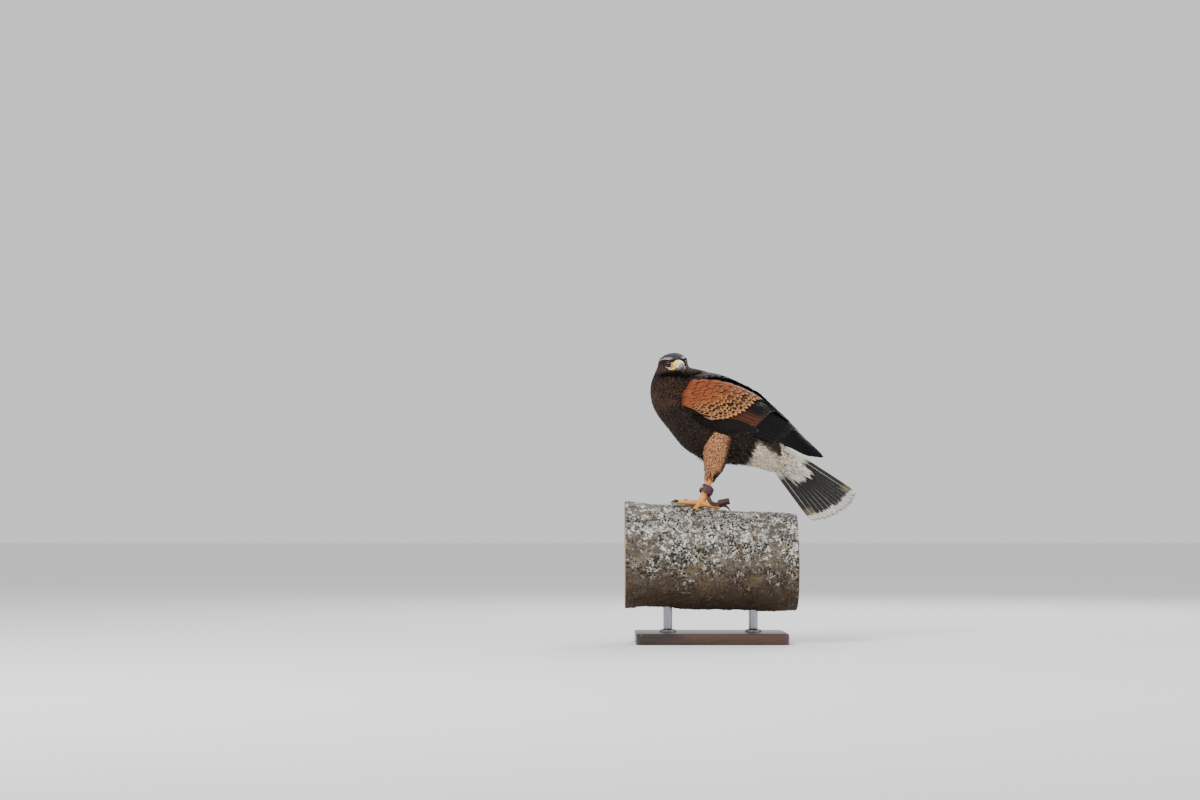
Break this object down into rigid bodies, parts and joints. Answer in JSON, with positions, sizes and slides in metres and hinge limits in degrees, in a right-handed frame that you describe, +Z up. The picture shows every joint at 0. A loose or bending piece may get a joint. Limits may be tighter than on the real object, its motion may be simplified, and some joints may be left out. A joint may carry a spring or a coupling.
{
  "type": "harris hawk on a perch",
  "caption": "Still life-size model of a hawk with a chestnut shoulder and thigh, standing on a cut length of thick limb held by a plain display stand.",
  "frame": {"origin": "centre of the stand base's underside, on the floor", "axes": "+Z up; +X along the limb towards the hawk's tail, which leaves the limb on that side; -Y towards the side the hawk looks at"},
  "size_m": [0.4732, 0.2722, 0.5764],
  "materials": {
    "dark_plumage": "matt blackish brown feathers",
    "wing_plumage": "matt feathers, chestnut shoulder and blackish brown flight feathers",
    "tail_plumage": "matt feathers, black with a white base and tip",
    "thigh_plumage": "matt chestnut feathers",
    "bare_skin": "scaled yellow skin",
    "cere_skin": "smooth waxy yellow skin",
    "bill_horn": "satin horn, blue grey with a black tip",
    "claw_horn": "satin black horn",
    "eye": "wet dark brown",
    "worn_leather": "oiled dark purple brown leather",
    "bark": "rough grey bark with pale and black lichen",
    "stand_board": "satin dark wood",
    "stand_steel": "brushed steel"
  },
  "bodies": {
    "root": {"torso": "dark_plumage", "neck": "dark_plumage", "head": "dark_plumage", "cere": "cere_skin", "bill_upper": "bill_horn", "bill_lower": "bill_horn", "eye_left": "eye", "eye_right": "eye", "wing_left": "wing_plumage", "wing_right": "wing_plumage", "tail": "tail_plumage", "thigh_left": "thigh_plumage", "tarsus_left": "bare_skin", "foot_left": "bare_skin", "claw_left_hind": "claw_horn", "claw_left_inner": "claw_horn", "claw_left_middle": "claw_horn", "claw_left_outer": "claw_horn", "anklet_left": "worn_leather", "jess_left": "worn_leather", "thigh_right": "thigh_plumage", "tarsus_right": "bare_skin", "foot_right": "bare_skin", "claw_right_hind": "claw_horn", "claw_right_inner": "claw_horn", "claw_right_middle": "claw_horn", "claw_right_outer": "claw_horn", "anklet_right": "worn_leather", "jess_right": "worn_leather", "perch_limb": "bark", "stand_base": "stand_board", "stand_rod_1": "stand_steel", "stand_rod_2": "stand_steel"}
  },
  "joints": []
}
